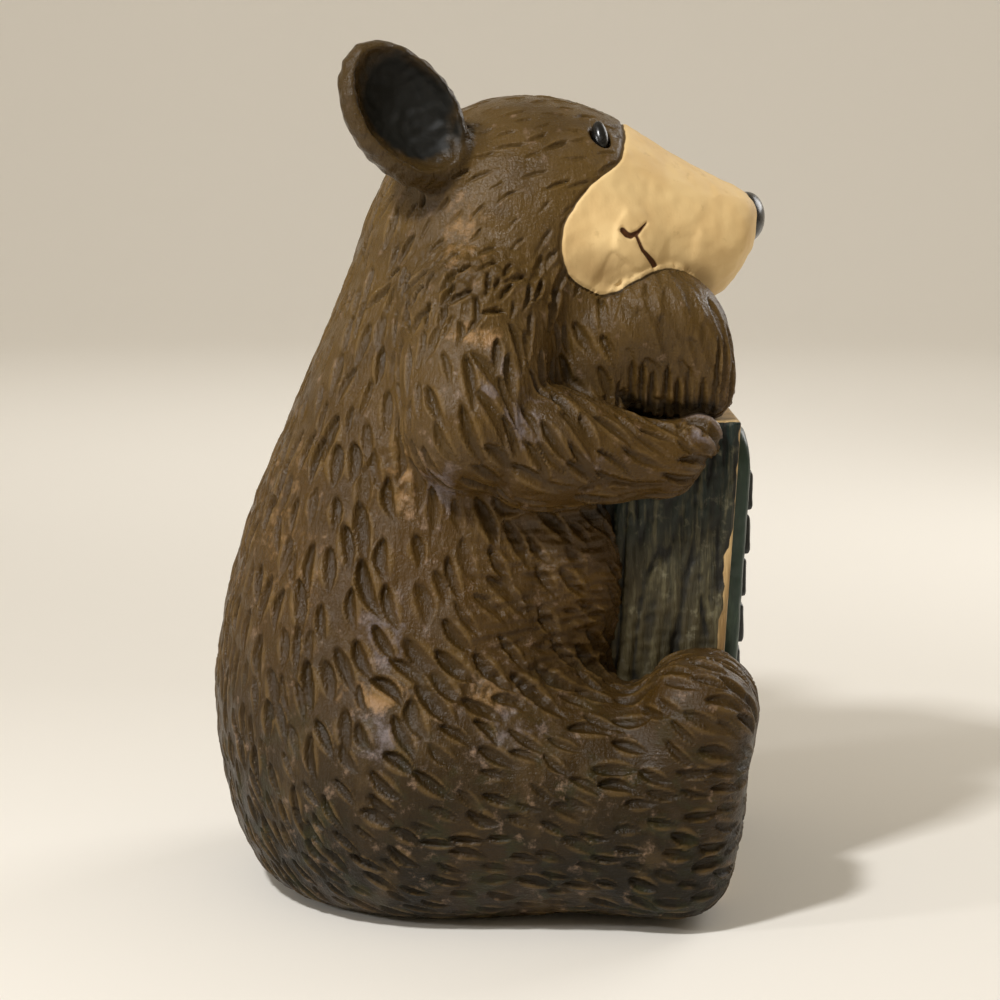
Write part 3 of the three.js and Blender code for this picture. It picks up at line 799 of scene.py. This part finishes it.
# Each coat in its place: cream on the face, and ragged-edged black in the ears.
face = add(tree, "Attribute", {}, "Fac", attribute_name="cream")
beside = add(tree, "MapRange", {"Value": face, "From Min": -1.8, "From Max": -0.8}, **SMOOTH)
face = add(tree, "MapRange", {"Value": face, "From Min": -0.12, "From Max": 0.12}, **SMOOTH)
coat = add(tree, "Mix", {0: face, 6: brown, 7: ivory}, 2, data_type="RGBA")
hollow = add(tree, "Attribute", {}, "Fac", attribute_name="hollow")
ragged = add(tree, "TexNoise", {"Vector": place, "Scale": 1000 / 7, "Detail": 5, "Roughness": 0.6})
hollow = add(tree, "Math", {0: ragged, 1: 0.5, 2: hollow}, operation="MULTIPLY_ADD")
hollow = add(tree, "MapRange", {"Value": hollow, "From Min": 1.3, "From Max": 1.0}, **SMOOTH)
coat = add(tree, "Mix", {0: hollow, 6: coat, 7: linear("#12120f")}, 2, data_type="RGBA")
tree.links.new(coat, shader.inputs["Base Color"])

# The varnish lies unevenly: glossier on brown high places, matt on the face and inside the ears.
matt = add(tree, "Math", {0: beside, 1: hollow}, operation="MAXIMUM")
varnish = add(tree, "TexNoise", {"Vector": place, "Scale": 1000 / 8, "Detail": 4})
varnish = {"Value": varnish, "From Min": 0.3, "From Max": 0.7, "To Min": 0.2, "To Max": 0.4}
varnish = add(tree, "MapRange", varnish)
varnish = add(tree, "Math", {0: low_down, 1: 0.1, 2: varnish}, operation="MULTIPLY_ADD")
varnish = add(tree, "Mix", {0: matt, 2: varnish, 3: 0.6}, data_type="FLOAT")
tree.links.new(varnish, shader.inputs["Roughness"])
shader.inputs["IOR"].default_value = 1.49
shader.inputs["Specular IOR Level"].default_value = 0.24

# Fine scratches 1.5 mm apart run the way the fur lies, with grit of 0.8 mm between them.
upright = add(tree, "Attribute", {}, "Fac", attribute_name="upright")
scratches = []
for squeeze in ((0.22, 0.22, 1), (1, 1, 0.22)):
    squeezed = add(tree, "Mapping", {"Vector": place, "Scale": squeeze})
    lines = {"Vector": squeezed, "Scale": 1000 / 1.5, "Detail": 3, "Roughness": 0.6}
    scratches.append(add(tree, "TexNoise", lines))
scratches = add(tree, "Mix", {0: upright, 2: scratches[0], 3: scratches[1]}, data_type="FLOAT")
rough = add(tree, "MapRange", {"Value": matt, "To Min": 0.9, "To Max": 0.12})
grain = add(tree, "Bump", {"Strength": rough, "Distance": 0.0008, "Height": scratches})
grit = add(tree, "TexNoise", {"Vector": place, "Scale": 1000 / 0.8, "Detail": 3, "Roughness": 0.65})
grit = add(tree, "Bump", {"Strength": rough, "Distance": 0.0003, "Height": grit, "Normal": grain})
tree.links.new(grit, shader.inputs["Normal"])
for piece in bear:
    piece.data.materials.append(material)


# ---------------------------------------------------------------- The half-log
# An upright half-log between the legs, cast with the bear: ridged bark round its sides, and pale sawn
# wood on its top and down its front edges, where the bark stops raggedly.
LOG_TOP, LOG_RADIUS, LOG_FACE, LOG_STRAIGHT, LOG_LEAN = 152, 41, 76.5, 22, 0.06
SIDES_APART = 300  # keeps the bark of one flank unlike the other's
PLAIN_STEP = 0.8  # between the places measured, on pieces less finely carved than the skin


def forward_of_log(p):
    """How far forward of the leaning log's middle line each point is, as if it stood upright."""
    return -p[:, 1] - LOG_LEAN * (p[:, 2] - LOG_TOP)


def half_log(p):
    f = forward_of_log(p)
    behind = np.minimum(f - (LOG_FACE - LOG_STRAIGHT), 0)
    d = carve(np.hypot(p[:, 0], behind) - LOG_RADIUS, f - LOG_FACE, 1.0)
    d = carve(d, p[:, 2] - LOG_TOP, 1.0)
    return np.maximum(d, SHAVED - p[:, 2])


def round_the_log(p):
    """Points unrolled: millimetres round the bark from its straight flank, and height."""
    f = forward_of_log(p) - (LOG_FACE - LOG_STRAIGHT)
    back = np.arctan2(np.minimum(f, 0), np.abs(p[:, 0])) * LOG_RADIUS
    return np.stack([np.where(f < 0, back, f), SIDES_APART * np.sign(p[:, 0]), p[:, 2]], 1)


def bark_height(p):
    """Stringy upright ridges a few millimetres apart, split by long thin cracks."""
    unrolled = round_the_log(p)
    strings = wander(unrolled * (1, 1, 0.13), 2.3, 4)
    broad = wander(unrolled * (1, 1, 0.2), 6.0, 9)
    crack = np.clip(1 - np.abs(wander(unrolled * (1, 1, 0.10), 4.6, 5)) * 7, 0, 1)
    chips = wander(unrolled, 2.6, 12)
    return 1.1 * strings + 0.6 * broad - 1.3 * crack + 0.5 * chips


points, faces = sculpt(half_log, (-45, -82, -1), (45, -6, 156), PLAIN_STEP)
normals = slope_of(half_log, points)
f = forward_of_log(points)
# A ragged strip of bare wood runs up beside the sawn face, and ends below the top.
edge_height = points * (0, 0, 1)
strip = np.clip((120 - points[:, 2]) / 12, 0, 1) * (2.4 + 2.2 * wander(edge_height, 21, 6)) + 0.1
strip = np.maximum(strip + 0.9 * wander(edge_height, 3.5, 7), 0.1)
bark = np.clip((LOG_FACE - strip - f) / 0.7 + 0.5, 0, 1) * (normals[:, 2] < 0.6)
relief = bark * (0.6 + 0.85 * bark_height(points))
relief *= np.clip((LOG_FACE - f) / 1.0, 0, 1) * np.clip((points[:, 2] - 1) / 2, 0, 1)
on_top = normals[:, 2] > 0.6
relief += np.where(on_top, 0.25 * wander(points * (1, 0.25, 1), 3, 13), 0)
log = piece_of("half_log", points + normals * relief[:, None], faces, bark=bark, relief=relief)

# Green-black acrylic over the bark with an olive dry-brush on its ridges, cream on the sawn wood, and
# near-black deep in the cracks, darker the lower the relief: it reads as weathered bark, stringy from top to
# bottom.
material, tree, shader = paint("cracked_bark_acrylic")
place = add(tree, "TexCoord", {}, "Object")
height = add(tree, "SeparateXYZ", {"Vector": place}, 2)
relief = add(tree, "Attribute", {}, "Fac", attribute_name="relief")
sawn = add(tree, "Attribute", {}, "Fac", attribute_name="bark")
long_grain = add(tree, "Mapping", {"Vector": place, "Scale": (1, 1, 0.12)})
drift = add(tree, "TexNoise", {"Vector": place, "Scale": 1000 / 22, "Detail": 3})
height = add(tree, "Math", {0: drift, 1: 0.05, 2: height}, operation="MULTIPLY_ADD")
teal = add(tree, "MapRange", {"Value": height, "From Min": 0.115, "From Max": 0.165}, **SMOOTH)
bark = add(tree, "Mix", {0: teal, 6: linear("#403821"), 7: linear("#152420")}, 2, data_type="RGBA")
for where, size, begins, whole, strength, colour in (
    (long_grain, 2.4, 0.5, 0.66, 0.6, "#6a6347"),
    (long_grain, 4.5, 0.54, 0.66, 0.5, "#23251a"),
    (place, 5, 0.56, 0.72, 0.55, "#837d64"),
):
    lines = {"Vector": where, "Scale": 1000 / size, "Detail": 5, "Roughness": 0.62}
    much = {"Value": add(tree, "TexNoise", lines), "From Min": begins, "From Max": whole, "To Max": strength}
    much = add(tree, "MapRange", much, **SMOOTH)
    bark = add(tree, "Mix", {0: much, 6: bark, 7: linear(colour)}, 2, data_type="RGBA")
# Near-black deep in the cracks: the lower the relief, the darker.
deep = add(tree, "MapRange", {"Value": relief, "From Min": 0.6, "From Max": -0.4, "To Max": 0.94}, **SMOOTH)
bark = add(tree, "Mix", {0: deep, 6: bark, 7: linear("#0f0e08")}, 2, data_type="RGBA")
wood = add(tree, "TexNoise", {"Vector": long_grain, "Scale": 1000 / 4, "Detail": 4, "Roughness": 0.6})
wood = add(tree, "MapRange", {"Value": wood, "From Min": 0.4, "From Max": 0.7}, **SMOOTH)
wood = add(tree, "Mix", {0: wood, 6: linear("#cfb07c"), 7: linear("#9c7c4e")}, 2, data_type="RGBA")
sawn = add(tree, "MapRange", {"Value": sawn, "From Min": 0.35, "From Max": 0.65}, **SMOOTH)
coat = add(tree, "Mix", {0: sawn, 6: wood, 7: bark}, 2, data_type="RGBA")
tree.links.new(coat, shader.inputs["Base Color"])
shader.inputs["Roughness"].default_value = 0.5
shader.inputs["IOR"].default_value = 1.49
shader.inputs["Specular IOR Level"].default_value = 0.4
fibres = add(tree, "TexNoise", {"Vector": long_grain, "Scale": 1000 / 1.1, "Detail": 4, "Roughness": 0.65})
fibres = add(tree, "Bump", {"Strength": 0.9, "Distance": 0.0008, "Height": fibres})
tree.links.new(fibres, shader.inputs["Normal"])
log.data.materials.append(material)


# ---------------------------------------------------------------- The sign panel and its raised marks
# A panel with rounded corners on the log's sawn face, moulded in place and painted dark green. Seven
# rows of plain raised blocks stand on it, in near-black.
PANEL_HALF, PANEL_LOW, PANEL_HIGH, PANEL_THICK = 33, 13, 149, 5
PANEL_CORNER, THINNED_BY, THINNED_OVER = 12, 2.6, 16
MARK_ROWS, MARK_PITCH, MARK_TOP_ROW, MARK_HEIGHT, MARK_RISE = 7, 13.9, 128.5, 12.4, 2.2


def panel_field(p):
    """The panel, crowned so that it thins toward its top and bottom edges."""
    x, out, z = p[:, 0], forward_of_log(p) - LOG_FACE, p[:, 2]
    middle, tall = (PANEL_LOW + PANEL_HIGH) / 2, (PANEL_HIGH - PANEL_LOW) / 2
    u = np.abs(x) - PANEL_HALF + PANEL_CORNER
    w = np.abs(z - middle) - tall + PANEL_CORNER
    outline = np.hypot(np.maximum(u, 0), np.maximum(w, 0)) + np.minimum(np.maximum(u, w), 0) - PANEL_CORNER
    near_end = np.clip((np.abs(z - middle) - tall + THINNED_OVER) / THINNED_OVER, 0, 1)
    crown = PANEL_THICK - THINNED_BY * near_end**2
    return carve(outline, np.maximum(out - crown, -out - 3), 3)


def marks_field(p):
    x, out, z = p[:, 0], forward_of_log(p) - LOG_FACE, p[:, 2]
    d = np.full(len(p), 50.0, np.float32)
    for row in range(MARK_ROWS):
        places = (-22.5, -7.5, 7.5, 22.5) if row % 2 else (-20, 0, 20)
        for n, place in enumerate(places):
            width = (8.6 if row % 2 else 11.5) * (1 + 0.14 * math.sin(2.3 * row + 1.7 * n))
            lean = 0.1 * math.sin(1.1 * row + 2.1 * n)
            u, w = x - place, z - (MARK_TOP_ROW - row * MARK_PITCH)
            across, upward = u * math.cos(lean) - w * math.sin(lean), u * math.sin(lean) + w * math.cos(lean)
            # Each block stands out most near its foot, as a chisel held downward leaves it.
            rise = PANEL_THICK + MARK_RISE * (0.8 - 0.4 * np.clip(upward / MARK_HEIGHT, -0.5, 0.5))
            block = np.stack([across, out - rise + 3, upward], 1)
            d = np.minimum(d, rounded_box(block, (width / 2, 3, MARK_HEIGHT / 2), 1.2))
    return d


for name, field, colour, worn_colour, gloss in (
    ("sign_panel", panel_field, "#22382e", "#4c6554", 0.36),
    ("raised_marks", marks_field, "#0d1313", "#2c3633", 0.32),
):
    points, faces = sculpt(field, (-38, -90, 8), (38, -58, 153), PLAIN_STEP)
    normals = slope_of(field, points)
    dent = 0.18 * wander(points, 7, 15) + 0.1 * wander(points, 2.5, 16)
    piece = piece_of(name, points + normals * dent[:, None], faces)
    # Two brushed coats of satin acrylic, the upper one thin enough in places to show its brush lines.
    material, tree, shader = paint(name + "_acrylic")
    place = add(tree, "TexCoord", {}, "Object")
    drawn = add(tree, "Mapping", {"Vector": place, "Scale": (1, 1, 0.3)})
    thin = add(tree, "TexNoise", {"Vector": drawn, "Scale": 1000 / 5, "Detail": 4, "Roughness": 0.6})
    thin = add(tree, "MapRange", {"Value": thin, "From Min": 0.52, "From Max": 0.75, "To Max": 0.5}, **SMOOTH)
    coat = add(tree, "Mix", {0: thin, 6: linear(colour), 7: linear(worn_colour)}, 2, data_type="RGBA")
    tree.links.new(coat, shader.inputs["Base Color"])
    shader.inputs["Roughness"].default_value = gloss
    shader.inputs["IOR"].default_value = 1.49
    brushed = add(tree, "TexNoise", {"Vector": drawn, "Scale": 1000 / 1.3, "Detail": 3, "Roughness": 0.6})
    brushed = add(tree, "Bump", {"Strength": 0.4, "Distance": 0.0004, "Height": brushed})
    tree.links.new(brushed, shader.inputs["Normal"])
    piece.data.materials.append(material)


# ---------------------------------------------------------------- The nose and the eyes
# Smooth domes moulded with the head and picked out in black gloss enamel, the eyes set in sockets.
# The enamel has dulled to a soft gloss, with a paler bloom in patches of about 2 mm.
NOSE_AT, NOSE_RADII = (0, 81, 212.8), (11.5, 5.7, 8)
EYE_MIDDLE, EYE_RADII = (0, 0.3, -0.3), (2.4, 2.5, 5.0)
material, tree, shader = paint("black_gloss_enamel")
place = add(tree, "TexCoord", {}, "Object")
bloom = add(tree, "TexNoise", {"Vector": place, "Scale": 1000 / 2.2, "Detail": 3})
bloom = add(tree, "MapRange", {"Value": bloom, "From Min": 0.45, "From Max": 0.75}, **SMOOTH)
coat = add(tree, "Mix", {0: bloom, 6: linear("#0c0c0c"), 7: linear("#1c1b1a")}, 2, data_type="RGBA")
tree.links.new(coat, shader.inputs["Base Color"])
dulled = add(tree, "MapRange", {"Value": bloom, "To Min": 0.24, "To Max": 0.4})
tree.links.new(dulled, shader.inputs["Roughness"])
shader.inputs["IOR"].default_value = 1.5


def nose(p):
    return ellipsoid(p, NOSE_AT, NOSE_RADII)


def eye(p):
    return ellipsoid(in_eye(p), EYE_MIDDLE, EYE_RADII)


def other_eye(p):
    return eye(p * np.array([-1, 1, 1], np.float32))


for name, field, at, reach, step in (
    ("nose", nose, spot(*NOSE_AT), 14, 0.5),
    ("eye_left", eye, eye_at, 6, 0.3),
    ("eye_right", other_eye, eye_at * np.array([-1, 1, 1]), 6, 0.3),
):
    points, faces = sculpt(field, at - reach, at + reach, step)
    piece_of(name, points, faces).data.materials.append(material)


# ---------------------------------------------------------------- The studio
# A pale floor that sweeps up into a round wall. The key stands above and behind the bear on its right
# side, a weaker light is low behind it, a broad one fills from the far side, and the last washes the
# wall. Nothing here belongs to the bear, and its sizes are in metres.
SWEEP_FROM, SWEEP_RADIUS, WALL_TOP = 2.2, 1.3, 2.6
material, tree, shader = paint("studio_paper")
shader.inputs["Base Color"].default_value = linear("#eeeae3")
shader.inputs["Roughness"].default_value = 0.9
sweep = [(0.0, 0.0), (1.2, 0.0), (SWEEP_FROM, 0.0)]
for a in np.linspace(0.15, math.pi / 2, 10):
    sweep.append((SWEEP_FROM + SWEEP_RADIUS * math.sin(a), SWEEP_RADIUS - SWEEP_RADIUS * math.cos(a)))
sweep.append((SWEEP_FROM + SWEEP_RADIUS, WALL_TOP))
turns = 64
verts = [(0, 0, 0)] + [
    (r * math.cos(2 * math.pi * k / turns), r * math.sin(2 * math.pi * k / turns), z)
    for r, z in sweep[1:]
    for k in range(turns)
]
paper = [(0, 1 + k, 1 + (k + 1) % turns) for k in range(turns)]
for ring in range(len(sweep) - 2):
    a, b = 1 + ring * turns, 1 + (ring + 1) * turns
    paper += [(a + k, b + k, b + (k + 1) % turns, a + (k + 1) % turns) for k in range(turns)]
floor_mesh = bpy.data.meshes.new("floor")
floor_mesh.from_pydata(verts, [], paper)
floor_mesh.polygons.foreach_set("use_smooth", [True] * len(paper))
floor_mesh.materials.append(material)
floor = bpy.data.objects.new("floor", floor_mesh)
bpy.context.scene.collection.objects.link(floor)

world = bpy.data.worlds.new("studio")
bpy.context.scene.world = world
world.use_nodes = True
sky = world.node_tree.nodes["Background"].inputs
sky["Color"].default_value = linear("#f1e2c6")
sky["Strength"].default_value = 0.42

SHOULDER_HEIGHT = 0.17
for name, at, aim, watts, size in (
    ("key", (-0.62, 0.42, 0.95), (0, 0, SHOULDER_HEIGHT), 9.5, 0.1),
    ("back_light", (-0.5, 1.0, 0.5), (0, 0, SHOULDER_HEIGHT), 3.0, 0.12),
    ("far_fill", (0.6, -0.7, 0.6), (0, 0, SHOULDER_HEIGHT), 3.4, 0.5),
    ("wall_wash", (0.9, 0, 1.4), (3.2, 0, 0.4), 15.0, 1.0),
):
    lamp = bpy.data.lights.new(name, "AREA")
    lamp.energy = watts
    lamp.size = size
    holder = bpy.data.objects.new(name, lamp)
    holder.location = at
    holder.rotation_mode = "QUATERNION"
    holder.rotation_quaternion = (Vector(at) - Vector(aim)).to_track_quat("Z", "Y")
    bpy.context.scene.collection.objects.link(holder)

# The camera faces the bear's right side, 8 degrees down, aimed a little below its middle.
AIM_FORWARD, AIM_HEIGHT, CAMERA_AWAY = 2.7, 122, 850  # in millimetres, as the bear's own sizes are
camera = bpy.data.objects.new("camera", bpy.data.cameras.new("camera"))
camera.data.lens = 94.9
camera.data.sensor_width = 36
camera.data.clip_end = 30
rise = math.radians(8)
target = Vector((0, (to_frame[1] - AIM_FORWARD) / 1000, (AIM_HEIGHT - SHAVED) / 1000))
back = Vector((-math.cos(rise), 0, math.sin(rise)))
camera.location = target + CAMERA_AWAY / 1000 * back
camera.rotation_mode = "QUATERNION"
camera.rotation_quaternion = back.to_track_quat("Z", "Y")
bpy.context.scene.collection.objects.link(camera)
bpy.context.scene.camera = camera
# Painted colours are shown as they are, with no film-like curve over them.
bpy.context.scene.view_settings.view_transform = "Standard"
